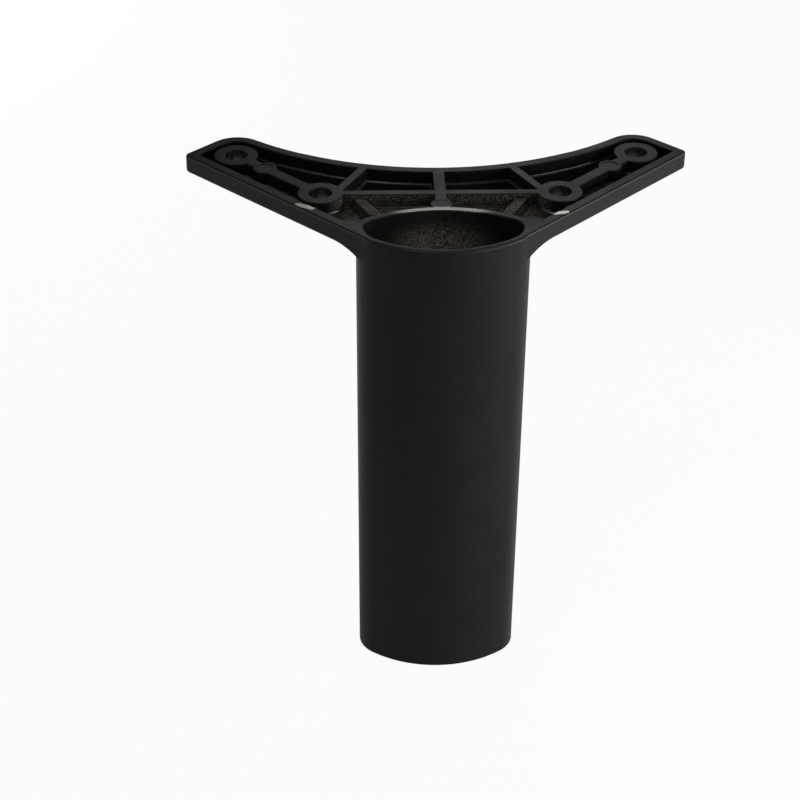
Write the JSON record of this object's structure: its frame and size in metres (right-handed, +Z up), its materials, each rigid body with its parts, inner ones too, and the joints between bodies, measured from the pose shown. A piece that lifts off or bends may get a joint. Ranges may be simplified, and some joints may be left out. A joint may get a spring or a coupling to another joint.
{
  "type": "corner furniture leg",
  "caption": "Hollow oval furniture leg cast in one with a right-angled corner plate; ribbed open top with screw bosses, black coat.",
  "frame": {"origin": "middle of the foot's flat underside, on the leg's widest line", "axes": "+Z up from the floor to the mounting face, +X along the leg's wide side, +Y towards the plate's curved back"},
  "size_m": [0.1522, 0.0752, 0.15],
  "materials": {
    "black_coat": "satin black powder coat on cast aluminium"
  },
  "bodies": {
    "root": {"leg_casting": "black_coat"}
  },
  "joints": []
}
